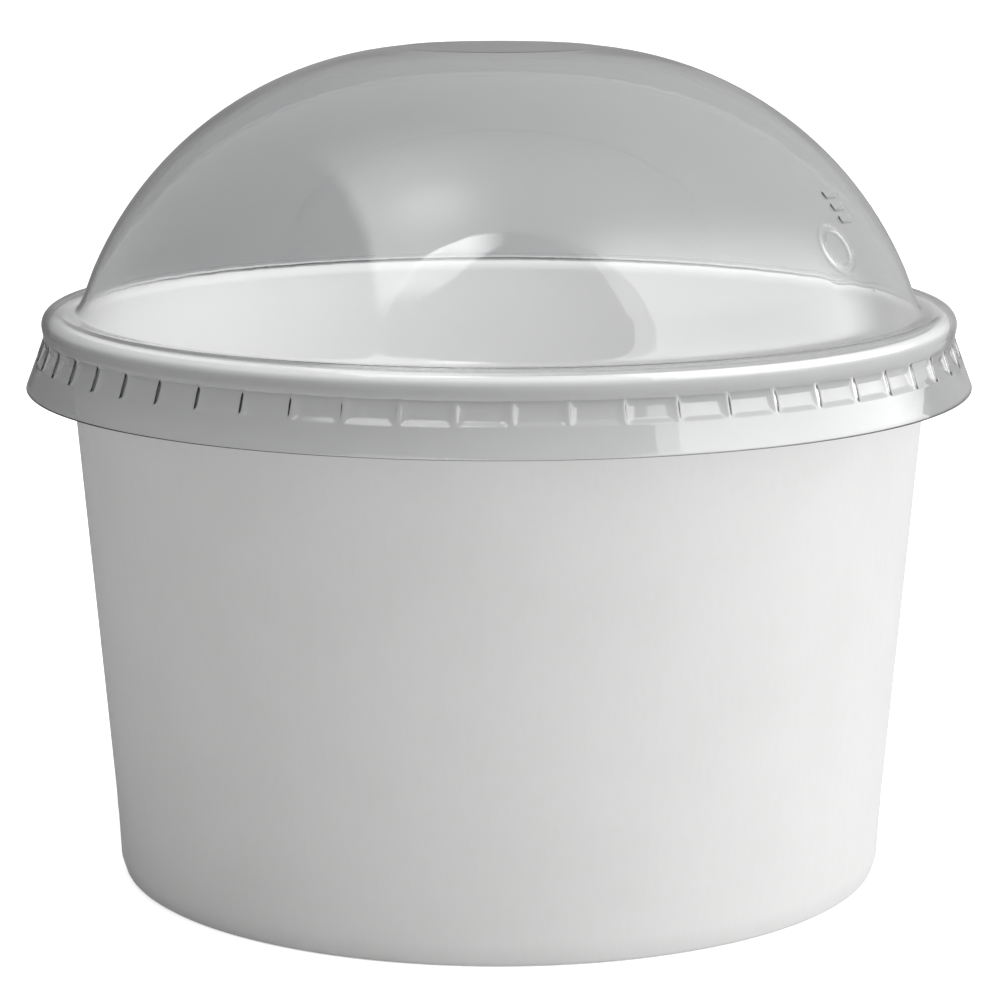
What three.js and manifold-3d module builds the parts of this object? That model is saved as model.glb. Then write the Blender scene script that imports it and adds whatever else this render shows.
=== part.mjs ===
// Paper tub with a clear dome lid. Millimetres, +Z up, the foot stands on z = 0.
import * as THREE from 'three';
import { mergeVertices } from 'three/addons/utils/BufferGeometryUtils.js';
import Module from 'manifold-3d';

// Shared
const SEGMENTS = 72;
const GAP = 0.3;

// Paper wall: a cone with a folded foot and a curled rim
const BOARD = 0.45;
const FOOT_RADIUS = 40.68;
const WALL_SLOPE = 0.085;
const FOOT_ROUND = 0.2;
const HEM_TOP = 6.3;
const CURL_CENTRE = { r: 46.4, z: 58.4 };
const CURL_RADIUS = 1.15;
const CURL_END_DEG = -110;
const CURL_STEPS = 7;

// Recessed bottom disc with its flange turned down into the folded foot
const DISC_UNDERSIDE = 6.6;
const FLANGE_BOTTOM = 0.75;

// Clear lid
const FILM = 0.35;
const LIP = { r: 50.0, z: 52.3 };
const TOP_Z = 87.5;
const TOP_FLAT_RADIUS = 10.4;
const DOME_CENTRE = { r: 7.36, z: 48.85 };
const DOME_RADIUS = 38.72;
const DOME_TOP_DEG = 84.8;
const DOME_FOOT_DEG = 21;
const DOME_STEPS = 8;
const VALLEY = [{ r: 44.05, z: 61.3 }, { r: 44.65, z: 60.45 }, { r: 45.35, z: 60.12 }];
const BEAD_CENTRE = { r: 46.75, z: 58.9 };
const BEAD_RADIUS = 1.55;
const BEAD_START_DEG = 118;
const BEAD_END_DEG = -35;
const BEAD_STEPS = 5;
const SKIRT_TOP = { r: 48.1, z: 57.6 };
const SNAP_LEDGE = { r: 47.25, z: 56.45 };
const SKIRT_MIDDLE = { r: 49.0, z: 55.1 };

// Ribs that bridge the snap groove
const RIB_COUNT = 57;
const RIB_WIDTH = 0.9;
const RIB_FIRST_DEG = -4.97;
const RIB_SINK = 0.12;

const PAPER = { color: 0xf2f2f0, roughness: 0.6, metalness: 0 };
const INNER_PAPER = { color: 0xeeeeec, roughness: 0.5, metalness: 0 };
const CLEAR = { color: 0xf4f8fa, roughness: 0.05, metalness: 0, transparent: true, opacity: 0.3 };

const wasm = await Module();
wasm.setup();

const radians = THREE.MathUtils.degToRad;

function arc(centre, radius, fromDeg, toDeg, steps) {
  const points = [];
  for (let i = 0; i <= steps; i += 1) {
    const a = radians(fromDeg + ((toDeg - fromDeg) * i) / steps);
    points.push({ r: centre.r + radius * Math.cos(a), z: centre.z + radius * Math.sin(a) });
  }
  return points;
}

// The same path moved to the right of its direction of travel by a distance
function offsetPath(path, distance) {
  const normals = [];
  for (let i = 0; i < path.length - 1; i += 1) {
    const dr = path[i + 1].r - path[i].r;
    const dz = path[i + 1].z - path[i].z;
    const length = Math.hypot(dr, dz);
    normals.push({ r: dz / length, z: -dr / length });
  }
  return path.map((point, i) => {
    const a = normals[Math.max(i - 1, 0)];
    const b = normals[Math.min(i, normals.length - 1)];
    const scale = distance / (1 + a.r * b.r + a.z * b.z);
    return { r: point.r + (a.r + b.r) * scale, z: point.z + (a.z + b.z) * scale };
  });
}

// A closed outline turned about the upright axis
function revolve(outline) {
  const vectors = outline.map((point) => new THREE.Vector2(Math.max(point.r, 0), point.z));
  const onAxis = vectors[0].x < 1e-9 && vectors[vectors.length - 1].x < 1e-9;
  if (!onAxis) {
    vectors.push(vectors[0].clone());
  }
  const geometry = new THREE.LatheGeometry(vectors, SEGMENTS);
  geometry.rotateX(Math.PI / 2);
  return geometry;
}

function toSolid(geometry) {
  const bare = geometry.clone();
  bare.deleteAttribute('normal');
  bare.deleteAttribute('uv');
  const merged = mergeVertices(bare, 1e-5);
  const index = [];
  const source = merged.index.array;
  for (let i = 0; i < source.length; i += 3) {
    const [a, b, c] = [source[i], source[i + 1], source[i + 2]];
    if (a !== b && b !== c && c !== a) {
      index.push(a, b, c);
    }
  }
  const build = (triangles) => new wasm.Manifold(new wasm.Mesh({
    numProp: 3,
    vertProperties: new Float32Array(merged.attributes.position.array),
    triVerts: new Uint32Array(triangles),
  }));
  const solid = build(index);
  if (solid.volume() > 0) {
    return solid;
  }
  const turned = [];
  for (let i = 0; i < index.length; i += 3) {
    turned.push(index[i], index[i + 2], index[i + 1]);
  }
  return build(turned);
}

function toGeometry(solid) {
  const mesh = solid.getMesh();
  const geometry = new THREE.BufferGeometry();
  const positions = new Float32Array((mesh.vertProperties.length / mesh.numProp) * 3);
  for (let i = 0; i < positions.length / 3; i += 1) {
    for (let k = 0; k < 3; k += 1) {
      positions[3 * i + k] = mesh.vertProperties[mesh.numProp * i + k];
    }
  }
  geometry.setAttribute('position', new THREE.BufferAttribute(positions, 3));
  geometry.setIndex(new THREE.BufferAttribute(new Uint32Array(mesh.triVerts), 1));
  geometry.computeVertexNormals();
  return geometry;
}

// A point that many millimetres inside the outer face of the paper wall
function wallPoint(depth, z) {
  return { r: FOOT_RADIUS - depth + WALL_SLOPE * z, z };
}

// Wall, folded foot and open curl in one outline
function cupWall() {
  const slotOuter = BOARD;
  const slotInner = slotOuter + GAP + BOARD + GAP;
  const hemInner = slotInner + BOARD;
  const curlStart = 180;
  const outside = [
    wallPoint(hemInner, HEM_TOP),
    wallPoint(hemInner, FOOT_ROUND),
    wallPoint(hemInner - FOOT_ROUND, 0),
    wallPoint(FOOT_ROUND, 0),
    wallPoint(0, FOOT_ROUND),
    wallPoint(0, CURL_CENTRE.z - CURL_RADIUS),
  ];
  const underCurl = arc(CURL_CENTRE, CURL_RADIUS - BOARD, curlStart, CURL_END_DEG, CURL_STEPS);
  const overCurl = arc(CURL_CENTRE, CURL_RADIUS, CURL_END_DEG, curlStart, CURL_STEPS);
  const inside = [
    wallPoint(BOARD, DISC_UNDERSIDE),
    wallPoint(slotOuter, BOARD),
    wallPoint(slotInner, BOARD),
    wallPoint(slotInner, HEM_TOP),
  ];
  return toSolid(revolve([...outside, ...underCurl, ...overCurl, ...inside]));
}

// Flat disc with a turned-down flange that hangs in the folded foot
function cupBase() {
  const outer = BOARD + GAP;
  const inner = outer + BOARD;
  const top = DISC_UNDERSIDE + BOARD;
  return toSolid(revolve([
    { r: 0, z: DISC_UNDERSIDE },
    wallPoint(inner, DISC_UNDERSIDE),
    wallPoint(inner, FLANGE_BOTTOM),
    wallPoint(outer, FLANGE_BOTTOM),
    wallPoint(outer, top - FOOT_ROUND),
    wallPoint(outer + FOOT_ROUND, top),
    { r: 0, z: top },
  ]));
}

// Outer face of the lid from the middle of its flat top down to its lip
function lidFace() {
  return [
    { r: 0, z: TOP_Z },
    { r: TOP_FLAT_RADIUS, z: TOP_Z },
    ...arc(DOME_CENTRE, DOME_RADIUS, DOME_TOP_DEG, DOME_FOOT_DEG, DOME_STEPS),
    ...VALLEY,
    ...arc(BEAD_CENTRE, BEAD_RADIUS, BEAD_START_DEG, BEAD_END_DEG, BEAD_STEPS),
    SKIRT_TOP,
    SNAP_LEDGE,
    SKIRT_MIDDLE,
    LIP,
  ];
}

// One gusset across the snap groove, centred on the front of the lid
function ribGeometry() {
  const shape = new THREE.Shape([
    new THREE.Vector2(SKIRT_TOP.r - RIB_SINK, SKIRT_TOP.z - RIB_SINK),
    new THREE.Vector2(SNAP_LEDGE.r - RIB_SINK, SNAP_LEDGE.z),
    new THREE.Vector2(SKIRT_MIDDLE.r - RIB_SINK, SKIRT_MIDDLE.z),
  ]);
  const rib = new THREE.ExtrudeGeometry(shape, { depth: RIB_WIDTH, bevelEnabled: false });
  rib.translate(0, 0, -RIB_WIDTH / 2);
  rib.rotateX(Math.PI / 2);
  rib.rotateZ(-Math.PI / 2);
  return rib;
}

// Thin turned shell with its ring of ribs
function domeLid() {
  const outer = lidFace();
  const inner = offsetPath(outer, FILM);
  inner[0].r = 0;
  let lid = toSolid(revolve([...outer, ...inner.reverse()]));
  const rib = ribGeometry();
  for (let i = 0; i < RIB_COUNT; i += 1) {
    const placed = rib.clone();
    placed.rotateZ(radians(RIB_FIRST_DEG + (360 * i) / RIB_COUNT));
    lid = lid.add(toSolid(placed));
  }
  return lid;
}

function named(name, solid, finish) {
  const mesh = new THREE.Mesh(toGeometry(solid), new THREE.MeshStandardMaterial(finish));
  mesh.name = name;
  return mesh;
}

const part = new THREE.Group();
part.name = 'paper_tub_dome_lid';
part.add(named('cup_wall', cupWall(), PAPER));
part.add(named('cup_base', cupBase(), INNER_PAPER));
part.add(named('dome_lid', domeLid(), CLEAR));

export default part;
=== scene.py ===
"""Paper tub with a clear dome lid: sizes and finishes in a sidebar panel, one operator for each piece."""

import math

import bmesh
import bpy
import numpy as np
from bpy.props import FloatProperty, FloatVectorProperty, IntProperty, PointerProperty
from mathutils import Matrix, Vector


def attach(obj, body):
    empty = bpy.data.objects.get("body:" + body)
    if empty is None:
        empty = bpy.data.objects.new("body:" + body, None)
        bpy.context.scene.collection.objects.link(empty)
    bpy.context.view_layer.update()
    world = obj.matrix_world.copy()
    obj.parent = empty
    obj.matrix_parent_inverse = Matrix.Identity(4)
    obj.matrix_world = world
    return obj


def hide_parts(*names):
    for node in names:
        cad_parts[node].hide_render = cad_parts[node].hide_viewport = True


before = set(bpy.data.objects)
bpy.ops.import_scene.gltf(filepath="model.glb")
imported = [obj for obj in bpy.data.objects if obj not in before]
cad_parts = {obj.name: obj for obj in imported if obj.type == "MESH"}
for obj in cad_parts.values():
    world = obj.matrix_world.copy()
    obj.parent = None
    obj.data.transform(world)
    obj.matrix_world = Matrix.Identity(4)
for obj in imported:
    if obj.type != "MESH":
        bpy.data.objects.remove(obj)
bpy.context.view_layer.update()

bl_info = {
    "name": "Paper tub with dome lid",
    "version": (1, 0, 0),
    "blender": (4, 5, 0),
    "location": "View3D > Sidebar > Paper Tub",
    "description": "Builds a white paper tub with a clear dome lid and its plain studio",
    "category": "Add Mesh",
}

MM = 0.001

# Paper tub, with lengths in metres, points as radius and height, and arcs in degrees

FOOT_RADIUS = 40.68 * MM
WALL_SLOPE = 0.085
MID_WALL_FLARE = 2.5 * MM
BOARD = 0.45 * MM
SLOT_GAP = 0.3 * MM
SLOT_ROUND = 0.25 * MM
FOOT_INSET = 0.12 * MM
FOOT_HEIGHT = 1.6 * MM
FOOT_ROUND_IN = 0.5 * MM
FOOT_ROUND_OUT = 0.55 * MM
HEM_TOP = 6.3 * MM
HEM_START = HEM_TOP - 0.8 * MM
HEM_ROUND = 0.2 * MM
DISC_UNDERSIDE = 6.6 * MM
DISC_TOP = DISC_UNDERSIDE + BOARD
DISC_FLAT = 30 * MM
DISC_SAG = 0.25 * MM
DISC_RINGS = [r * MM for r in (3, 8, 13, 18, 23, 27)]
DISC_COLUMNS = 240
DISC_ROUND_TOP = 0.5 * MM
DISC_ROUND_UNDER = 0.2 * MM
FLANGE_BOTTOM = 0.75 * MM
FLANGE_CUT = FLANGE_BOTTOM - 0.01 * MM
FLANGE_MIDDLE = 3 * MM
FLANGE_ROUND = 0.15 * MM
CURL_CENTRE = (46.4 * MM, 58.4 * MM)
CURL_RADIUS = 1.15 * MM
CURL_FROM_FACE = 176
CURL_FROM_LINING = 184
CURL_END = -106
# Heights where the painted highlight on top of the curl begins and where it is full
CURL_HIGHLIGHT_HEIGHTS = (CURL_CENTRE[1] + 0.2 * MM, CURL_CENTRE[1] + 0.8 * MM)
WALL_HEAD = CURL_CENTRE[1] - 1.4 * MM
WALL_COLUMNS = 288
SEAM_EDGE = 0.25 * MM
SEAM_INSIDE_SHARE = 0.6
CRIMP_DEPTH = 0.09 * MM
CRIMP_SPREAD = 0.4 * MM
BAND_DEPTH = 0.22 * MM

# Clear lid

FILM = 0.35 * MM
LID_TOP = 87.5 * MM
TOP_RINGS = [r * MM for r in (1.2, 3, 5, 7, 9)]
TOP_ROUND = 0.6 * MM
DOME_CENTRE = (7.36 * MM, 48.85 * MM)
DOME_START = 83.6
DOME_END = 24
DOME_PULL = 3.4 * MM
CREASE = (44.7 * MM, 60.27 * MM)
CREASE_PULL = (1.7 * MM, -0.9 * MM)
CREASE_ROUND = 0.12 * MM
BEAD_CENTRE = (46.75 * MM, 58.9 * MM)
BEAD_START = 108
BEAD_END = -16
SKIRT_TOP = (48.1 * MM, 57.6 * MM)
SKIRT_ROUND = 0.45 * MM
GROOVE_FOOT = (49.0 * MM, 55.0 * MM)
GROOVE_ROWS = [z * MM for z in (57.3, 57.15, 57.0, 56.88, 56.8, 56.75, 56.68, 56.55, 56.3, 56.0,
                                55.8, 55.7, 55.6, 55.5, 55.4, 55.3, 55.2, 55.1, 55.0)]
LIP_HEIGHT = 52.35 * MM
LIP_STEPS = 8
# Heights where the film's tint goes from the skirt's to the bead's and from the bead's to the dome's; the
# darker bead and skirt tints are painted shade
SKIRT_TO_BEAD_SHADE = (57.0 * MM, 57.6 * MM)
BEAD_SHADE_TO_DOME = (59.1 * MM, 59.5 * MM)
LEDGE_HEIGHT = 56.75 * MM
LEDGE_DEPTH = 0.38 * MM
POCKET_ROWS = (55.15 * MM, 55.65 * MM, LEDGE_HEIGHT)
POCKET_SHARES = (0, 0.72, 1)
FLANK_SLOPE = 0.68
FLANK_BLEND = 0.2 * MM
RIB_START = math.radians(-4.97)
RIB_COLUMNS = [x * MM for x in (0.18, 0.34, 0.6, 0.9, 1.15, 1.4, 2.0)]
RIM_TO_DOME = 4

# Marks pressed into the dome, placed from the point where it faces by this turn and tilt

MARK_TURN = math.radians(61)
MARK_TILT = math.radians(33)
MARK_LINE = 0.22 * MM
MARK_SOFT = 0.3 * MM
MARK_RING_PLACE = (-3.2 * MM, -1.2 * MM)
MARK_RING_RADIUS = 2.3 * MM
MARK_BARS_PLACE = (2.0 * MM, 1.6 * MM)
MARK_BAR_PITCH = 1.5 * MM
MARK_BAR_HALF = 1.2 * MM
MARK_BARS = 3
PATCH_SIDE = 7.2 * MM
PATCH_FOOT = -5.4 * MM
PATCH_BULGE = 4 * MM
PATCH_CUTS = 11
ON_ARC = 0.1 * MM
NEAR_ARC = 0.15 * MM

# Studio, with directions from the tub: x to the right, y away from the camera, z up
# A pair for a ramp says where an area begins and where it is full

FLOOR_HALF = 12.0
SIDE_GREYS = (-0.9, 0.9)
OVERHEAD = (0.2, 1.0)
AREA_EDGE = (1.02, 0.98)
SCREEN_CENTRE = (0.012, 0.25)
SCREEN_RADII = (0.325, 0.42)
SCREEN_SHADE = 0.55
MARGIN_CENTRE = (0.05, 0.25)
MARGIN_RADII = (0.345, 0.43)
MARGIN_SHADE = 0.45
WINDOW_DIAGONAL = (0.606, 0.625)
WINDOW_RIGHT = (0.03, -0.09)
WINDOW_GLOW = (0.40, 0.50)
WINDOW_GLOW_SHARE = 0.3
WINDOW_CORE = (0.54, 0.61)
WINDOW_CORE_SHARE = 0.7
CEILING_LEFT = (-0.50, -0.44)
CEILING_BACK = (0.5, -0.2)
CEILING_LOW = (0.35, 0.6)
CEILING_FADE = (0.15, -0.35)
CEILING_FADE_SHARE = 1.1
CEILING_EVEN_SHARE = 0.35
SPOT_CENTRE = (-0.19, 0.80)
SPOT_RADIUS = 0.2
SPOT_SHARE = 0.7
SIDE_INNER = (0.2, 0.5)
SIDE_UPPER = (0.85, 0.5)
SIDE_LEAN = 0.6
SIDE_BACK = (0.65, 0.3)
SIDE_LOW = (0.0, 0.15)
CAMERA_PLACE = (0, -0.37874, 0.10996)
CAMERA_DIP = math.radians(10.594)
CAMERA_LENS = 129.29
CAMERA_SENSOR = 36
CAMERA_SHIFT = 0.0009
CAMERA_CLIP = (0.01, 60)


# Sizes and colours

class TubSizes(bpy.types.PropertyGroup):
    """Sizes of the paper wall and bottom"""
    foot_radius: FloatProperty(
        name="Foot radius", description="Outer radius at the foot", default=FOOT_RADIUS, unit="LENGTH")
    board: FloatProperty(
        name="Board", description="Thickness of the paperboard", default=BOARD, unit="LENGTH")
    curl_radius: FloatProperty(
        name="Curl radius", description="Radius of the rolled rim", default=CURL_RADIUS, unit="LENGTH")
    seam_width: FloatProperty(
        name="Seam width", description="Width of the glued overlap", default=8 * MM, unit="LENGTH")
    seam_turn: FloatProperty(
        name="Seam place", description="Angle of the glued overlap from the front",
        default=math.radians(88), subtype="ANGLE")
    seam_step: FloatProperty(
        name="Seam step", description="How far the overlap stands out", default=0.16 * MM, unit="LENGTH")
    crimp_height: FloatProperty(
        name="Crimp height", description="Height of the crimped line over the foot", default=7.1 * MM,
        unit="LENGTH")


class LidSizes(bpy.types.PropertyGroup):
    """Sizes of the clear lid"""
    film: FloatProperty(
        name="Film", description="Thickness of the clear film", default=FILM, unit="LENGTH")
    dome_radius: FloatProperty(
        name="Dome radius", description="Radius of the arc of the dome", default=38.72 * MM,
        unit="LENGTH")
    top_radius: FloatProperty(
        name="Flat top", description="Radius of the flat disc on top", default=10.4 * MM, unit="LENGTH")
    bead_radius: FloatProperty(
        name="Bead radius", description="Radius of the bead over the rim", default=1.55 * MM,
        unit="LENGTH")
    lip_radius: FloatProperty(
        name="Lip radius", description="Radius of the lip of the skirt", default=50 * MM, unit="LENGTH")
    rib_count: IntProperty(
        name="Ribs", description="Ribs round the snap groove", default=57, min=3)
    rib_width: FloatProperty(
        name="Rib width", description="Width of the crest of a rib", default=0.35 * MM, unit="LENGTH")
    mark_height: FloatProperty(
        name="Mark height", description="Relief of the small pressed marks", default=0.07 * MM,
        unit="LENGTH")


class Finishes(bpy.types.PropertyGroup):
    """Colours and glosses"""
    paper: FloatVectorProperty(
        name="Paper", description="Colour of the white paperboard", default=(0.70, 0.70, 0.698),
        subtype="COLOR", min=0, max=1)
    paper_shade: FloatVectorProperty(
        name="Paper shade", description="Darker tone of its cloudy mottling",
        default=(0.675, 0.675, 0.672), subtype="COLOR", min=0, max=1)
    # The lining colour is partly a real coating and partly painted light: it makes the inside and the
    # curl's top whiter than the outside paper
    lining: FloatVectorProperty(
        name="Lining", description="Colour of the coated inner face and the curl",
        default=(0.95, 0.95, 0.948), subtype="COLOR", min=0, max=1)
    lining_shade: FloatVectorProperty(
        name="Lining shade", description="Darker tone of the lining", default=(0.93, 0.93, 0.928),
        subtype="COLOR", min=0, max=1)
    film_tint: FloatVectorProperty(
        name="Film tint", description="Tint of the clear film", default=(0.97, 0.975, 0.98),
        subtype="COLOR", min=0, max=1)
    # The skirt and bead tints are painted shade: they darken what is seen under the bead and behind the
    # skirt
    skirt_shade_tint: FloatVectorProperty(
        name="Skirt tint", description="Tint of the skirt, darker than the dome",
        default=(0.89, 0.895, 0.90), subtype="COLOR", min=0, max=1)
    bead_shade_tint: FloatVectorProperty(
        name="Bead tint", description="Tint of the bead over the rim, the darkest of the three",
        default=(0.82, 0.825, 0.83), subtype="COLOR", min=0, max=1)
    film_shadow: FloatVectorProperty(
        name="Film shadow", description="Share of the light that the film lets through to the paper",
        default=(0.895, 0.895, 0.895), subtype="COLOR", min=0, max=1)
    paper_roughness: FloatProperty(
        name="Paper roughness", description="Roughness of the coated paper", default=0.55, min=0, max=1)
    film_roughness: FloatProperty(
        name="Film roughness", description="Roughness of the film", default=0.022, min=0, max=1)


class StudioSettings(bpy.types.PropertyGroup):
    """Light and floor"""
    floor: FloatVectorProperty(
        name="Floor", description="Colour of the plain floor", default=(0.78, 0.78, 0.78),
        subtype="COLOR", min=0, max=1)
    floor_lift: FloatProperty(
        name="Floor lift", description="Even brightness added to the floor as the camera sees it",
        default=0.62, min=0)
    side_power: FloatProperty(
        name="Side fill", description="Power of the light on the right that leaves no reflection",
        default=0.2, min=0, unit="POWER")
    top_power: FloatProperty(
        name="Top fill", description="Power of the light overhead that leaves no reflection",
        default=3.3, min=0, unit="POWER")
    side_light: FloatProperty(
        name="Side light", description="Brightness of the soft light on the right", default=2.15, min=0)
    ceiling: FloatProperty(
        name="Ceiling", description="Brightness of the ceiling over the left front", default=1.15, min=0)
    window: FloatProperty(
        name="Window", description="Brightness of the curved window at the upper front", default=5.6,
        min=0)
    surround_left: FloatProperty(
        name="Surround left", description="Brightness of the surround on the left", default=0.085, min=0)
    surround_right: FloatProperty(
        name="Surround right", description="Brightness of the surround on the right", default=0.68,
        min=0)
    surround_top: FloatProperty(
        name="Surround top", description="Brightness added overhead", default=0.14, min=0)


# Outlines and grids

def arc(centre, radius, start, end, steps):
    """Points on an arc about a centre, angles in degrees, both ends included"""
    angles = np.radians(np.linspace(start, end, steps + 1))
    return [(centre[0] + radius * math.cos(a), centre[1] + radius * math.sin(a)) for a in angles]


def rounded(path, radii, steps):
    """An open path with its inner corners rounded by the given radii"""
    points = [path[0]]
    for i in range(1, len(path) - 1):
        before, corner, after = (Vector(p) for p in path[i - 1:i + 2])
        u = (before - corner).normalized()
        v = (after - corner).normalized()
        half = math.acos(max(-1.0, min(1.0, u.dot(v)))) / 2
        # A radius reaches at most to just before the middle of each side
        reach = radii[i] / math.tan(half)
        reach = min(reach, (before - corner).length * 0.49, (after - corner).length * 0.49)
        radius = reach * math.tan(half)
        centre = corner + (u + v).normalized() * (radius / math.sin(half))
        first = corner + u * reach - centre
        last = corner + v * reach - centre
        turn = math.atan2(first.x * last.y - first.y * last.x, first.dot(last))
        for k in range(steps + 1):
            cosine, sine = math.cos(turn * k / steps), math.sin(turn * k / steps)
            points.append((centre.x + (first.x * cosine - first.y * sine),
                           centre.y + (first.x * sine + first.y * cosine)))
    points.append(path[-1])
    return points


def spaced(start, end, steps):
    """Points along a straight line, without its ends"""
    return [(start[0] + (end[0] - start[0]) * k / steps, start[1] + (end[1] - start[1]) * k / steps)
            for k in range(1, steps)]


def hermite(start, start_pull, end, end_pull, steps):
    """Points on a smooth curve between two ends with given pulls, without its ends"""
    points = []
    for k in range(1, steps):
        t = k / steps
        a = 2 * t ** 3 - 3 * t ** 2 + 1
        b = t ** 3 - 2 * t ** 2 + t
        c = -2 * t ** 3 + 3 * t ** 2
        d = t ** 3 - t ** 2
        points.append(tuple(
            a * start[i] + b * start_pull[i] + c * end[i] + d * end_pull[i] for i in (0, 1)))
    return points


def path_normals(path, closed=False):
    """Unit normals to the left of an outline that runs down its outer side, so they face outwards"""
    points = np.array(path)
    if closed:
        along = np.roll(points, -1, 0) - np.roll(points, 1, 0)
    else:
        along = np.gradient(points, axis=0)
    along /= np.linalg.norm(along, axis=1)[:, None]
    return np.stack([-along[:, 1], along[:, 0]], 1)


def turned(radius, height, angles):
    """Rows of points, with a radius and height for each row, or for each row and angle"""
    shape = (len(height), len(angles))
    radius = np.broadcast_to(radius, shape)
    height = np.broadcast_to(height, shape)
    return np.stack([radius * np.sin(angles), -radius * np.cos(angles), height], -1)


def turned_path(path, angles):
    """Rows of points of an outline turned about the axis"""
    radius, height = np.array(path).T[:, :, None]
    return turned(radius, height, angles)


def smooth(x):
    """Smooth step from 0 to 1 over the same range"""
    x = np.clip(x, 0, 1)
    return x * x * (3 - 2 * x)


def ring_faces(rows, columns, first=0, closed=False):
    """Quads between rows of a full turn"""
    faces = []
    last = rows if closed else rows - 1
    for i in range(last):
        a = first + i * columns
        b = first + ((i + 1) % rows) * columns
        for j in range(columns):
            k = (j + 1) % columns
            faces.append((a + j, b + j, b + k, a + k))
    return faces


def mesh_piece(name, points, faces, material, node):
    """A smooth shaded mesh that stands for a node of the frame"""
    mesh = bpy.data.meshes.new(name)
    mesh.from_pydata([tuple(p) for p in points], [], faces)
    mesh.validate()
    if len(mesh.polygons) != len(faces):
        raise RuntimeError(f"{name}: {len(faces) - len(mesh.polygons)} of its faces can't be made")
    mesh.shade_smooth()
    mesh.materials.append(material)
    piece = bpy.data.objects.new(name, mesh)
    bpy.context.scene.collection.objects.link(piece)
    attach(piece, "root")
    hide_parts(node)
    return piece


# Materials

class Signal:
    """One output socket of a node tree, for use in sums and products"""

    def __init__(self, tree, socket):
        self.tree = tree
        self.socket = socket

    def math(self, operation, *values):
        return self.tree.node("ShaderNodeMath", {"operation": operation}, dict(enumerate(values)))

    def __add__(self, other):
        return self.math("ADD", self, other)

    def __radd__(self, other):
        return self.math("ADD", other, self)

    def __sub__(self, other):
        return self.math("SUBTRACT", self, other)

    def __rsub__(self, other):
        return self.math("SUBTRACT", other, self)

    def __mul__(self, other):
        return self.math("MULTIPLY", self, other)

    def __rmul__(self, other):
        return self.math("MULTIPLY", other, self)

    def __truediv__(self, other):
        return self.math("DIVIDE", self, other)

    def __rtruediv__(self, other):
        return self.math("DIVIDE", other, self)

    def __pow__(self, other):
        return self.math("POWER", self, other)

    def __rpow__(self, other):
        return self.math("POWER", other, self)

    def at_least(self, other):
        """The larger of two values"""
        return self.math("MAXIMUM", self, other)

    def ramp(self, low, high):
        """0 at low, 1 at high, smooth between and level beyond"""
        return self.tree.node(
            "ShaderNodeMapRange", {"interpolation_type": "SMOOTHSTEP", "clamp": True},
            {"Value": self, "From Min": low, "From Max": high})


class NodeTree:
    """Nodes of a material or world, added by one method"""

    def __init__(self, owner):
        owner.use_nodes = True
        self.nodes = owner.node_tree.nodes
        self.links = owner.node_tree.links
        self.nodes.clear()

    def node(self, kind, settings=None, sockets=None, output=0):
        """A new node: its settings first, then values or links of its inputs; gives one output back"""
        made = self.nodes.new(kind)
        for key, value in (settings or {}).items():
            setattr(made, key, value)
        for key, value in (sockets or {}).items():
            target = made.inputs[key]
            if isinstance(value, Signal):
                self.links.new(value.socket, target)
            else:
                target.default_value = value
        return Signal(self, made.outputs[output]) if len(made.outputs) else None

    def mix(self, factor, first, second):
        """A colour between two, by the colour sockets of the Mix node"""
        return self.node(
            "ShaderNodeMix", {"data_type": "RGBA"}, {0: factor, 6: first, 7: second}, output=2)

    def noise(self, place, scale, detail, roughness):
        return self.node(
            "ShaderNodeTexNoise", {},
            {"Vector": place, "Scale": scale, "Detail": detail, "Roughness": roughness})

    def axes(self, place):
        """The three coordinates of a place or direction"""
        return [self.node("ShaderNodeSeparateXYZ", {}, {"Vector": place}, output=axis) for axis in "XYZ"]

    def ray(self, kind):
        """1 for light rays of that kind, such as Is Camera Ray"""
        return self.node("ShaderNodeLightPath", output=kind)


def paper_finish(name, lit_lining=False):
    """White paperboard with cloudy mottling, faint fibres and a soft tooth, and with lit_lining a whiter
    lining that is partly painted light, brightening the inside and the curl's top
    """
    looks = bpy.context.scene.tub_finishes
    material = bpy.data.materials.new(name)
    tree = NodeTree(material)
    place = tree.node("ShaderNodeTexCoord", output="Object")
    drawn_out = tree.node("ShaderNodeMapping", {}, {"Vector": place, "Scale": (1.0, 1.0, 0.35)})
    clouds = tree.noise(place, scale=90.0, detail=3.0, roughness=0.55)
    fibres = tree.noise(drawn_out, scale=1400.0, detail=4.0, roughness=0.6)
    tooth = tree.noise(place, scale=5200.0, detail=2.0, roughness=0.5)
    shade = clouds.ramp(0.35, 0.7) * 0.6 + fibres.ramp(0.4, 0.75) * 0.4
    colour = tree.mix(shade, (*looks.paper, 1.0), (*looks.paper_shade, 1.0))
    if lit_lining:
        # The lining is a real coating on the inner face, painted much whiter than the outside paper as
        # painted light for the brighter inside. On the curl only its top is whiter, a painted highlight
        # from the light above.
        x, y, z = tree.axes(place)
        depth = z * WALL_SLOPE + FOOT_RADIUS - (x * x + y * y) ** 0.5
        inner = depth.ramp(0.4 * BOARD, 0.6 * BOARD)
        # Painted highlight: the top of the curl is whiter from these heights up
        lit_curl_top = z.ramp(*CURL_HIGHLIGHT_HEIGHTS)
        lining = tree.mix(shade, (*looks.lining, 1.0), (*looks.lining_shade, 1.0))
        colour = tree.mix(inner.at_least(lit_curl_top), colour, lining)
    relief = clouds * 0.5 + fibres * 0.35 + tooth * 0.15
    bump = tree.node("ShaderNodeBump", {}, {"Strength": 0.55, "Distance": 0.06 * MM, "Height": relief})
    surface = tree.node("ShaderNodeBsdfPrincipled", {}, {
        "Base Color": colour,
        "Roughness": fibres * 0.12 + (looks.paper_roughness - 0.06),
        "Normal": bump,
        "IOR": 1.48,
    })
    tree.node("ShaderNodeOutputMaterial", {}, {"Surface": surface})
    return material


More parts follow.
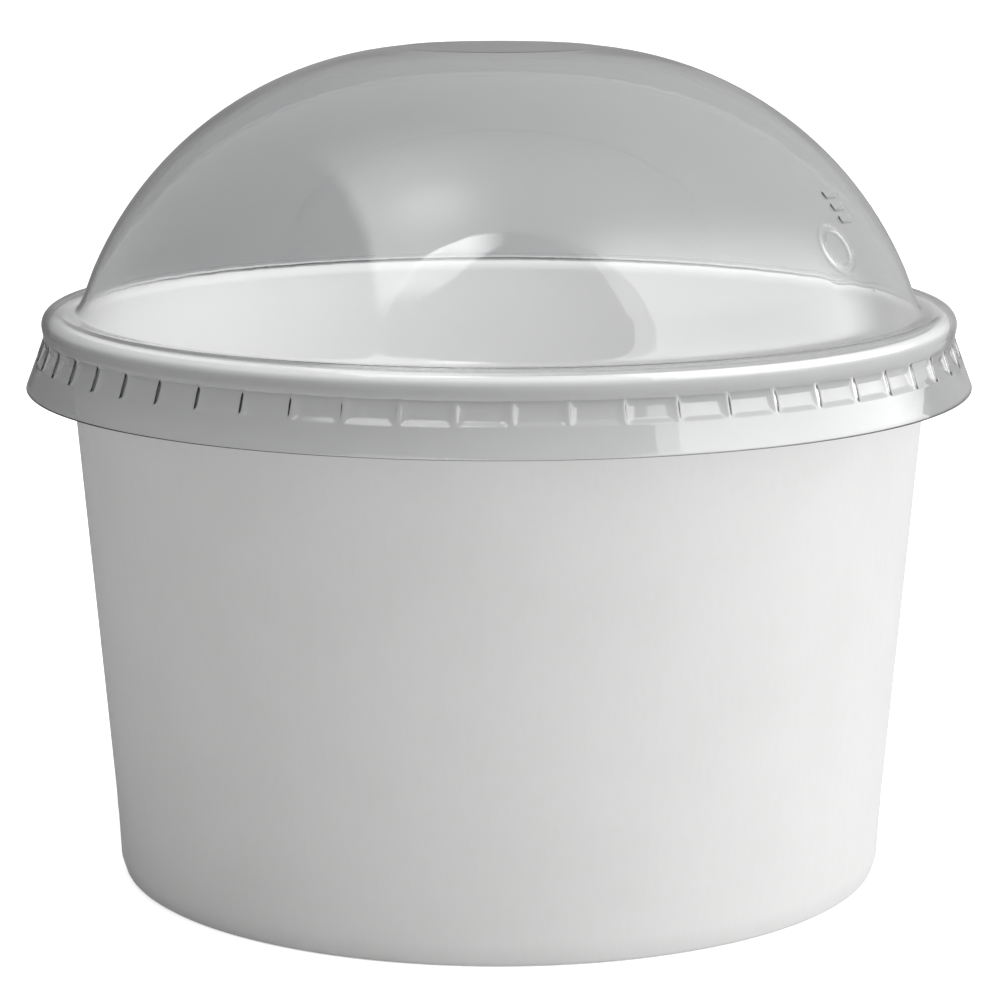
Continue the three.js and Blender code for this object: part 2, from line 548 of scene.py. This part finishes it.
def film_finish(name):
    """Clear thermoformed film with faint waves and a little haze"""
    looks = bpy.context.scene.tub_finishes
    material = bpy.data.materials.new(name)
    tree = NodeTree(material)
    place = tree.node("ShaderNodeTexCoord", output="Object")
    waves = tree.noise(place, scale=55.0, detail=1.5, roughness=0.4)
    grain = tree.noise(place, scale=1800.0, detail=2.0, roughness=0.5)
    haze = tree.noise(place, scale=140.0, detail=3.0, roughness=0.6)
    relief = waves * 0.9 + grain * 0.004
    bump = tree.node("ShaderNodeBump", {}, {"Strength": 0.35, "Distance": 0.2 * MM, "Height": relief})
    # Darker on the bead and less dark on the skirt than on the dome, shown as thicker film: painted shade
    # for the dark band under the bead and the shade behind the skirt
    z = tree.axes(place)[2]
    flange_shade = tree.mix(z.ramp(*SKIRT_TO_BEAD_SHADE), (*looks.skirt_shade_tint, 1.0), (*looks.bead_shade_tint, 1.0))
    clear = tree.node("ShaderNodeBsdfPrincipled", {}, {
        "Base Color": tree.mix(z.ramp(*BEAD_SHADE_TO_DOME), flange_shade, (*looks.film_tint, 1.0)),
        "Roughness": haze * 0.03 + (looks.film_roughness - 0.015),
        "IOR": 1.57,
        "Transmission Weight": 1.0,
        "Normal": bump,
    })
    open_air = tree.node("ShaderNodeBsdfTransparent", {}, {"Color": (*looks.film_shadow, 1.0)})
    # Light reaches the paper straight through the film, and only what is seen is bent by it
    straight = tree.ray("Is Shadow Ray").at_least(tree.ray("Is Diffuse Ray"))
    surface = tree.node("ShaderNodeMixShader", {}, {0: straight, 1: clear, 2: open_air})
    tree.node("ShaderNodeOutputMaterial", {}, {"Surface": surface})
    return material


# Paper wall

def wall_point(sizes, depth, z):
    """A point of the paper cone that far inside its outer face"""
    return (sizes.foot_radius - depth + WALL_SLOPE * z, z)


def wall_outline(sizes):
    """Closed outline of the wall, and two masks with 1 on its outer face and 1 on its lining"""
    board = sizes.board
    slot_in = board + 2 * SLOT_GAP + BOARD
    hem_in = slot_in + board
    foot = rounded(
        [wall_point(sizes, hem_in, HEM_START), wall_point(sizes, hem_in, 0),
         wall_point(sizes, FOOT_INSET, 0), wall_point(sizes, 0, FOOT_HEIGHT)],
        [0, FOOT_ROUND_IN, FOOT_ROUND_OUT, 0], steps=6)
    wall_head = wall_point(sizes, 0, WALL_HEAD)
    face = spaced(foot[-1], wall_head, steps=64)

    # The outer face runs on inside the curl, and the lining covers the curl
    under = arc(CURL_CENTRE, sizes.curl_radius - board, CURL_FROM_FACE, CURL_END, steps=26)
    middle = sizes.curl_radius - board / 2
    end = math.radians(CURL_END)
    edge_centre = (CURL_CENTRE[0] + middle * math.cos(end), CURL_CENTRE[1] + middle * math.sin(end))
    edge = arc(edge_centre, board / 2, CURL_END + 180, CURL_END, steps=6)[1:-1]
    over = arc(CURL_CENTRE, sizes.curl_radius, CURL_END, CURL_FROM_LINING, steps=34)
    lining_foot = wall_point(sizes, board, DISC_UNDERSIDE)
    lining = spaced(over[-1], lining_foot, steps=40)

    slot = rounded(
        [lining_foot, wall_point(sizes, board, board), wall_point(sizes, slot_in, board),
         wall_point(sizes, slot_in, HEM_START)],
        [0, SLOT_ROUND, SLOT_ROUND, 0], steps=3)
    hem_edge = rounded(
        [slot[-1], wall_point(sizes, slot_in, HEM_TOP), wall_point(sizes, hem_in, HEM_TOP), foot[0]],
        [0, HEM_ROUND, HEM_ROUND, 0], steps=4)[1:-1]

    stretches = [foot[:-1], [foot[-1], *face, wall_head], under + edge + over, lining, slot + hem_edge]
    counts = [len(stretch) for stretch in stretches]
    outline = [point for stretch in stretches for point in stretch]
    on_face = np.repeat([0.0, 1.0, 0.0, 0.0, 0.0], counts)
    on_lining = np.repeat([0.0, 0.0, 0.0, 1.0, 0.0], counts)
    return outline, on_face, on_lining


def seam_columns(half_seam, seam_edge):
    """Angles from the middle of the seam, closer together at its two edges"""
    fine = [side * half_seam + k * seam_edge for side in (-1, 1) for k in (-2, -1, -0.4, 0.4, 1, 2)]
    coarse = [angle for angle in np.linspace(-math.pi, math.pi, WALL_COLUMNS + 1)[:-1]
              if abs(abs(angle) - half_seam) > 3 * seam_edge]
    return np.array(sorted(coarse + fine))


class TUB_OT_wall(bpy.types.Operator):
    """Make the paper wall with its folded foot, side seam and curled rim"""
    bl_idname = "tub.wall"
    bl_label = "Paper wall"

    def execute(self, context):
        sizes = context.scene.tub_sizes
        outline, on_face, on_lining = wall_outline(sizes)
        half_seam = sizes.seam_width / 2 / (sizes.foot_radius + MID_WALL_FLARE)
        seam_edge = SEAM_EDGE / sizes.foot_radius
        from_seam = seam_columns(half_seam, seam_edge)
        radius, z = np.array(outline).T[:, :, None]
        normals = path_normals(outline, closed=True)

        # The overlap has one sharp outer edge and fades into the wall on its other side
        to_end = half_seam - from_seam
        to_start = half_seam + from_seam
        layer = smooth(to_end / seam_edge + 0.5) * smooth(to_start / half_seam)
        inner_layer = smooth(to_start / seam_edge + 0.5) * smooth(to_end / half_seam)
        out = np.outer(on_face, layer) * sizes.seam_step
        out += np.outer(on_lining, inner_layer) * sizes.seam_step * SEAM_INSIDE_SHARE
        # The foot band is pressed in a little below its crimp line
        crimp = np.exp(-((z - sizes.crimp_height) / CRIMP_SPREAD) ** 2) * CRIMP_DEPTH
        band = np.clip((sizes.crimp_height - z) / sizes.crimp_height, 0, 1) * BAND_DEPTH
        out -= on_face[:, None] * (crimp + band)

        grid = turned(
            radius + normals[:, :1] * out, z + normals[:, 1:] * out, from_seam + sizes.seam_turn)
        faces = ring_faces(len(outline), len(from_seam), closed=True)
        mesh_piece("paper_wall", grid.reshape(-1, 3), faces, paper_finish("White paperboard", lit_lining=True),
                   "cup_wall")
        return {"FINISHED"}


# Paper bottom

def bottom_outline(sizes):
    """Outline of the bottom: over its sagging top, down and up the flange, and back below"""
    outer = sizes.board + SLOT_GAP
    inner = outer + BOARD
    corner_top = rounded(
        [(DISC_FLAT, DISC_TOP), wall_point(sizes, outer, DISC_TOP),
         wall_point(sizes, outer, FLANGE_BOTTOM)],
        [0, DISC_ROUND_TOP, 0], steps=6)
    edge = rounded(
        [corner_top[-1], wall_point(sizes, outer, FLANGE_CUT), wall_point(sizes, inner, FLANGE_CUT),
         wall_point(sizes, inner, FLANGE_MIDDLE)],
        [0, FLANGE_ROUND, FLANGE_ROUND, 0], steps=3)[1:]
    corner_under = rounded(
        [edge[-1], wall_point(sizes, inner, DISC_UNDERSIDE), (DISC_FLAT, DISC_UNDERSIDE)],
        [0, DISC_ROUND_UNDER, 0], steps=4)[1:]
    sagged = [(r, DISC_SAG * (1 - smooth(r / DISC_FLAT))) for r in DISC_RINGS]
    upper = [(r, DISC_TOP - sag) for r, sag in sagged]
    under = [(r, DISC_UNDERSIDE - sag) for r, sag in reversed(sagged)]
    return upper + corner_top + edge + corner_under + under


class TUB_OT_base(bpy.types.Operator):
    """Make the recessed paper bottom with its turned-down flange"""
    bl_idname = "tub.base"
    bl_label = "Paper bottom"

    def execute(self, context):
        outline = bottom_outline(context.scene.tub_sizes)
        angles = np.linspace(0, 2 * math.pi, DISC_COLUMNS + 1)[:-1]
        middles = [[0, 0, DISC_TOP - DISC_SAG], [0, 0, DISC_UNDERSIDE - DISC_SAG]]
        points = np.concatenate([turned_path(outline, angles).reshape(-1, 3), middles])
        faces = ring_faces(len(outline), DISC_COLUMNS)
        last = (len(outline) - 1) * DISC_COLUMNS
        upper_middle = len(outline) * DISC_COLUMNS
        for j in range(DISC_COLUMNS):
            k = (j + 1) % DISC_COLUMNS
            faces.append((upper_middle, j, k))
            faces.append((upper_middle + 1, last + k, last + j))
        mesh_piece("paper_bottom", points, faces, paper_finish("White bottom board"), "cup_base")
        return {"FINISHED"}


# Clear lid

def dome_outline(sizes):
    """Outline of the flat top and the arc of the dome"""
    dome_arc = arc(DOME_CENTRE, sizes.dome_radius, DOME_START, DOME_END, steps=28)
    flat = [(r, LID_TOP) for r in TOP_RINGS]
    shoulder = rounded(
        [flat[0], (sizes.top_radius, LID_TOP), dome_arc[0]], [0, TOP_ROUND, 0], steps=3)
    return flat + shoulder[1:-1] + dome_arc


def rim_outline(sizes, dome_end):
    """Outline from the end of the dome's arc over the crease, bead, waist and groove to the lip"""
    slope = math.radians(DOME_END)
    down = (math.sin(slope) * DOME_PULL, -math.cos(slope) * DOME_PULL)
    foot = hermite(dome_end, down, CREASE, CREASE_PULL, steps=14)
    bead = arc(BEAD_CENTRE, sizes.bead_radius, BEAD_START, BEAD_END, steps=20)
    crease = rounded([foot[-1], CREASE, bead[0]], [0, CREASE_ROUND, 0], steps=3)[1:-1]
    crease += spaced(crease[-1], bead[0], steps=3)
    waist = rounded([bead[-1], SKIRT_TOP, GROOVE_FOOT], [0, SKIRT_ROUND, 0], steps=5)[1:-1]
    flare = (GROOVE_FOOT[0] - SKIRT_TOP[0]) / (SKIRT_TOP[1] - GROOVE_FOOT[1])
    groove = [(SKIRT_TOP[0] + flare * (SKIRT_TOP[1] - z), z) for z in GROOVE_ROWS]
    lip = (sizes.lip_radius, LIP_HEIGHT)
    skirt = spaced(groove[-1], lip, steps=6)
    return foot[:-1] + crease + bead + waist + groove + skirt + [lip]


def rib_columns(sizes):
    """Angles round the lid, closer together at each rib, and how far each is from its rib"""
    pitch = 2 * math.pi / sizes.rib_count
    near = np.array(RIB_COLUMNS) / SKIRT_TOP[0]
    offsets = np.concatenate([[-pitch / 2], -near[::-1], [0], near])
    turns = RIB_START + pitch * np.arange(sizes.rib_count)
    return (turns[:, None] + offsets[None, :]).ravel(), np.tile(np.abs(offsets), sizes.rib_count)


def pocket_depths(sizes, height, from_rib):
    """How far the groove is pressed in between the ribs, for each row and column"""
    rise = np.clip((SKIRT_TOP[1] - height) / (SKIRT_TOP[1] - LEDGE_HEIGHT), 0, 1)
    fall = np.interp(height, POCKET_ROWS, POCKET_SHARES)
    pressed = (LEDGE_DEPTH * np.minimum(rise, fall))[:, None]
    flank = (np.maximum(from_rib * SKIRT_TOP[0] - sizes.rib_width / 2, 0) * FLANK_SLOPE)[None, :]
    # The smaller of the two, with a rounded edge between them
    share = np.clip(0.5 + 0.5 * (flank - pressed) / FLANK_BLEND, 0, 1)
    depth = pressed * share + flank * (1 - share) - FLANK_BLEND * share * (1 - share)
    return np.where(pressed > 0, np.maximum(depth, 0), 0)


def rim_grid(sizes, path, first_normal, angles, from_rib):
    """Rows of points down the outer face of the rim, round its lip and up its inner face"""
    radius, height = np.array(path).T
    outer = turned(radius[:, None] - pocket_depths(sizes, height, from_rib), height[:, None], angles)
    down = np.gradient(outer, axis=0)
    east = np.roll(outer, -1, 1) - np.roll(outer, 1, 1)
    normal = np.cross(down, east)
    normal /= np.linalg.norm(normal, axis=2)[..., None]
    normal[0] = turned(first_normal[:1], first_normal[1:, None], angles)[0]
    inner = outer - normal * sizes.film
    # A round lip joins the two faces
    centre = (outer[-1] + inner[-1]) / 2
    tip = down[-1] / np.linalg.norm(down[-1], axis=1)[:, None] * (sizes.film / 2)
    turns = [math.pi * k / LIP_STEPS for k in range(1, LIP_STEPS)]
    lip = [centre + (outer[-1] - centre) * math.cos(a) + tip * math.sin(a) for a in turns]
    return np.concatenate([outer, np.array(lip), inner[::-1]])


def lid_faces(dome_rows, rim_rows, columns, starts):
    """Faces of the lid; starts holds the first point of the top, dome, rim, inner dome and inner top"""
    top, dome, rim, inner_dome, inner_top = starts
    rim_columns = columns * RIM_TO_DOME
    faces = ring_faces(dome_rows, columns, dome)
    faces += ring_faces(rim_rows, rim_columns, rim)
    faces += ring_faces(dome_rows, columns, inner_dome)
    dome_end = dome + (dome_rows - 1) * columns
    rim_end = rim + (rim_rows - 1) * rim_columns
    for j in range(columns):
        k = (j + 1) % columns
        faces.append((top, dome + j, dome + k))
        faces.append((inner_top, inner_top - columns + k, inner_top - columns + j))
        # The rim has four columns for each one of the dome
        fan = [(RIM_TO_DOME * j + m) % rim_columns for m in range(RIM_TO_DOME + 1)]
        a, b = dome_end + j, dome_end + k
        r = [rim + m for m in fan]
        faces += [(a, r[0], r[1]), (a, r[1], r[2]), (a, r[2], b), (b, r[2], r[3]), (b, r[3], r[4])]
        a, b = inner_dome + j, inner_dome + k
        r = [rim_end + m for m in fan]
        faces += [(r[1], r[0], a), (r[2], r[1], a), (r[2], a, b), (r[3], r[2], b), (r[4], r[3], b)]
    return faces


def mark_relief(east, up):
    """Relief, from 0 to 1, of a plain ring and three short bars, that far from their middle"""

    def stroke(distance):
        return smooth((MARK_LINE + MARK_SOFT - distance) / MARK_SOFT)

    from_ring = math.hypot(east - MARK_RING_PLACE[0], up - MARK_RING_PLACE[1]) - MARK_RING_RADIUS
    strokes = [stroke(abs(from_ring))]
    past_end = max(abs(east - MARK_BARS_PLACE[0]) - MARK_BAR_HALF, 0)
    for k in range(MARK_BARS):
        strokes.append(stroke(math.hypot(past_end, up - MARK_BARS_PLACE[1] - MARK_BAR_PITCH * k)))
    return float(max(strokes))


def press_marks(mesh, sizes):
    """Two plain marks in low relief on the right of the dome, on a locally finer mesh"""
    sine, cosine = math.sin(MARK_TURN), math.cos(MARK_TURN)
    centre = Vector((DOME_CENTRE[0] * sine, -DOME_CENTRE[0] * cosine, DOME_CENTRE[1]))
    facing = Vector((math.cos(MARK_TILT) * sine, -math.cos(MARK_TILT) * cosine, math.sin(MARK_TILT)))
    east = Vector((cosine, sine, 0))
    up = facing.cross(east)
    middle = centre + facing * sizes.dome_radius

    def from_arc(vert):
        """Radius of a point, and how far out and up it is from the centre of the dome's arc"""
        ring = math.hypot(vert.co.x, vert.co.y)
        return ring, ring - DOME_CENTRE[0], vert.co.z - DOME_CENTRE[1]

    def on_patch(vert):
        away = vert.co - middle
        _, out, rise = from_arc(vert)
        return (abs(away.dot(east)) < PATCH_SIDE and PATCH_FOOT < away.dot(up) < PATCH_SIDE
                and abs(away.dot(facing)) < PATCH_BULGE
                and abs(math.hypot(out, rise) - sizes.dome_radius) < ON_ARC)

    shape = bmesh.new()
    shape.from_mesh(mesh)
    patch = [face for face in shape.faces if all(on_patch(vert) for vert in face.verts)]
    if not patch:
        raise RuntimeError("The dome has no faces where its marks are pressed in")
    edges = list({edge for face in patch for edge in face.edges})
    made = bmesh.ops.subdivide_edges(shape, edges=edges, cuts=PATCH_CUTS, use_grid_fill=True)
    fresh = {item for item in made["geom_inner"] if isinstance(item, bmesh.types.BMVert)}
    fresh |= {vert for face in patch if face.is_valid for vert in face.verts}
    for vert in fresh:
        ring, out, rise = from_arc(vert)
        reach = math.hypot(out, rise)
        if abs(reach - sizes.dome_radius) > NEAR_ARC:
            continue
        away = vert.co - middle
        lift = mark_relief(away.dot(east), away.dot(up)) * sizes.mark_height
        scale = (sizes.dome_radius + lift) / reach
        new_ring = DOME_CENTRE[0] + out * scale
        vert.co.x *= new_ring / ring
        vert.co.y *= new_ring / ring
        vert.co.z = DOME_CENTRE[1] + rise * scale
    wide = [face for face in shape.faces if len(face.verts) > 4]
    bmesh.ops.triangulate(shape, faces=wide)
    shape.to_mesh(mesh)
    shape.free()
    mesh.shade_smooth()


class TUB_OT_lid(bpy.types.Operator):
    """Make the clear lid: flat top, dome, valley, bead, snap groove with ribs, skirt and lip"""
    bl_idname = "tub.lid"
    bl_label = "Clear dome lid"

    def execute(self, context):
        sizes = context.scene.lid_sizes
        dome = dome_outline(sizes)
        rim = rim_outline(sizes, dome[-1])
        normals = path_normals(dome + rim)
        angles, from_rib = rib_columns(sizes)
        rim_rows = rim_grid(sizes, rim, normals[len(dome)], angles, from_rib)
        dome_angles = angles[::RIM_TO_DOME]
        inner_dome = np.array(dome) - normals[:len(dome)] * sizes.film
        parts = [
            np.array([[0, 0, LID_TOP]]),
            turned_path(dome, dome_angles).reshape(-1, 3),
            rim_rows.reshape(-1, 3),
            turned_path(inner_dome, dome_angles)[::-1].reshape(-1, 3),
            np.array([[0, 0, LID_TOP - sizes.film]]),
        ]
        starts = [sum(len(part) for part in parts[:i]) for i in range(len(parts))]
        faces = lid_faces(len(dome), len(rim_rows), len(dome_angles), starts)
        piece = mesh_piece("dome_lid_film", np.concatenate(parts), faces, film_finish("Clear film"),
                           "dome_lid")
        press_marks(piece.data, sizes)
        return {"FINISHED"}


# Stage

def plain_floor(scene, studio):
    """A wide matt floor, lifted to white where the camera sees it and not shown in the film"""
    corners = [(-1, -1), (1, -1), (1, 1), (-1, 1)]
    mesh = bpy.data.meshes.new("floor")
    mesh.from_pydata([(x * FLOOR_HALF, y * FLOOR_HALF, 0) for x, y in corners], [], [(0, 1, 2, 3)])
    floor = bpy.data.objects.new("floor", mesh)
    scene.collection.objects.link(floor)
    material = bpy.data.materials.new("Plain floor")
    tree = NodeTree(material)
    matt = tree.node("ShaderNodeBsdfDiffuse", {}, {"Color": (*studio.floor, 1.0)})
    lift = tree.node("ShaderNodeEmission", {}, {"Strength": studio.floor_lift})
    lifted = tree.node("ShaderNodeAddShader", {}, {0: matt, 1: lift})
    surface = tree.node("ShaderNodeMixShader", {}, {0: tree.ray("Is Camera Ray"), 1: matt, 2: lifted})
    tree.node("ShaderNodeOutputMaterial", {}, {"Surface": surface})
    material.cycles.emission_sampling = "NONE"
    mesh.materials.append(material)
    floor.visible_glossy = False
    floor.visible_transmission = False


def soft_light(scene, name, place, facing, size, power):
    """A panel of soft light that lights the matt surfaces only"""
    lamp = bpy.data.lights.new(name, "AREA")
    lamp.shape = "RECTANGLE"
    lamp.size, lamp.size_y = size
    lamp.energy = power
    holder = bpy.data.objects.new(name, lamp)
    look = Vector(facing).to_track_quat("-Z", "Y").to_matrix().to_4x4()
    holder.matrix_world = Matrix.Translation(place) @ look
    holder.visible_camera = False
    holder.visible_glossy = False
    holder.visible_transmission = False
    scene.collection.objects.link(holder)


def round_area(across, height, centre, radii):
    """1 inside an upright round-headed area of the studio, 0 outside"""
    sideways = (across - centre[0]) / radii[0]
    upwards = (height.at_least(centre[1]) - centre[1]) / radii[1]
    return (sideways * sideways + upwards * upwards).ramp(*AREA_EDGE)


def surround(scene, studio):
    """A grey studio with a few bright areas for the film and the paper, and white for the camera"""
    world = bpy.data.worlds.new("Surround")
    scene.world = world
    tree = NodeTree(world)
    x, y, z = tree.axes(tree.node("ShaderNodeTexCoord", output="Generated"))
    level = x.ramp(*SIDE_GREYS) * (studio.surround_right - studio.surround_left) + studio.surround_left
    level = level + z.ramp(*OVERHEAD) * studio.surround_top

    # Directions spread flat, with the one from the tub to the front in the middle
    across = x / (1 - y)
    height = z / (1 - y)
    # A dark screen with a round head and a half-dark margin hides the lights behind it
    screen = round_area(across, height, SCREEN_CENTRE, SCREEN_RADII)
    margin = round_area(across, height, MARGIN_CENTRE, MARGIN_RADII)
    uncovered = 1 - screen * SCREEN_SHADE - margin * MARGIN_SHADE

    ceiling = x.ramp(*CEILING_LEFT) * y.ramp(*CEILING_BACK) * z.ramp(*CEILING_LOW)
    ceiling = ceiling * (x.ramp(*CEILING_FADE) * CEILING_FADE_SHARE + CEILING_EVEN_SHARE)
    aside, above = across - SPOT_CENTRE[0], height - SPOT_CENTRE[1]
    spot = ((aside * aside + above * above) ** 0.5).ramp(SPOT_RADIUS, 0.0) * SPOT_SHARE
    side = x.ramp(*SIDE_INNER) * (z + y * SIDE_LEAN).ramp(*SIDE_UPPER)
    side = side * y.ramp(*SIDE_BACK) * z.ramp(*SIDE_LOW)
    level = level + ((ceiling + spot) * studio.ceiling + side * studio.side_light) * uncovered

    # The curved window in the screen's upper left shows only in glossy and clear surfaces
    window = screen * (height - across).ramp(*WINDOW_DIAGONAL) * across.ramp(*WINDOW_RIGHT)
    glow = height.ramp(*WINDOW_GLOW) * WINDOW_GLOW_SHARE + height.ramp(*WINDOW_CORE) * WINDOW_CORE_SHARE
    shown = tree.ray("Is Glossy Ray").at_least(tree.ray("Is Transmission Ray"))
    level = level + window * glow * shown * studio.window

    seen = tree.ray("Is Camera Ray")
    back = tree.node("ShaderNodeBackground", {}, {
        "Color": (1.0, 1.0, 1.0, 1.0),
        "Strength": level * (1 - seen) + seen,
    })
    tree.node("ShaderNodeOutputWorld", {}, {"Surface": back})


def photo_camera(scene):
    """The camera in front, a little higher than the lid and looking slightly down"""
    lens = bpy.data.cameras.new("camera")
    lens.lens = CAMERA_LENS
    lens.sensor_width = CAMERA_SENSOR
    lens.shift_x = CAMERA_SHIFT
    lens.clip_start, lens.clip_end = CAMERA_CLIP
    camera = bpy.data.objects.new("camera", lens)
    look = Matrix.Rotation(math.pi / 2 - CAMERA_DIP, 4, "X")
    camera.matrix_world = Matrix.Translation(CAMERA_PLACE) @ look
    scene.collection.objects.link(camera)
    scene.camera = camera


class TUB_OT_stage(bpy.types.Operator):
    """Make the plain floor, the soft lights, the surround and the camera"""
    bl_idname = "tub.stage"
    bl_label = "Studio"

    def execute(self, context):
        scene = context.scene
        studio = scene.tub_studio
        plain_floor(scene, studio)
        soft_light(scene, "side_fill", place=(0.72, -0.15, 0.43), facing=(-1, 0, 0), size=(1.3, 0.84),
                   power=studio.side_power)
        soft_light(scene, "top_fill", place=(-0.10, 0.08, 0.975), facing=(0, 0, -1), size=(0.82, 0.92),
                   power=studio.top_power)
        surround(scene, studio)
        photo_camera(scene)
        scene.view_settings.view_transform = "Standard"
        return {"FINISHED"}


class TUB_PT_panel(bpy.types.Panel):
    """Pieces and sizes of the paper tub"""
    bl_label = "Paper Tub"
    bl_idname = "TUB_PT_panel"
    bl_space_type = "VIEW_3D"
    bl_region_type = "UI"
    bl_category = "Paper Tub"

    def draw(self, context):
        scene = context.scene
        for group in (scene.tub_sizes, scene.lid_sizes, scene.tub_finishes, scene.tub_studio):
            box = self.layout.box()
            for name in group.bl_rna.properties.keys():
                if name not in ("rna_type", "name"):
                    box.prop(group, name)
        for operator in (TUB_OT_wall, TUB_OT_base, TUB_OT_lid, TUB_OT_stage):
            self.layout.operator(operator.bl_idname)


GROUPS = {"tub_sizes": TubSizes, "lid_sizes": LidSizes, "tub_finishes": Finishes,
          "tub_studio": StudioSettings}
CLASSES = (*GROUPS.values(), TUB_OT_wall, TUB_OT_base, TUB_OT_lid, TUB_OT_stage, TUB_PT_panel)


def register():
    for item in CLASSES:
        bpy.utils.register_class(item)
    for name, group in GROUPS.items():
        setattr(bpy.types.Scene, name, PointerProperty(type=group))


def unregister():
    for name in GROUPS:
        delattr(bpy.types.Scene, name)
    for item in reversed(CLASSES):
        bpy.utils.unregister_class(item)


def main():
    register()
    bpy.ops.tub.wall()
    bpy.ops.tub.base()
    bpy.ops.tub.lid()
    bpy.ops.tub.stage()


if __name__ == "__main__":
    main()
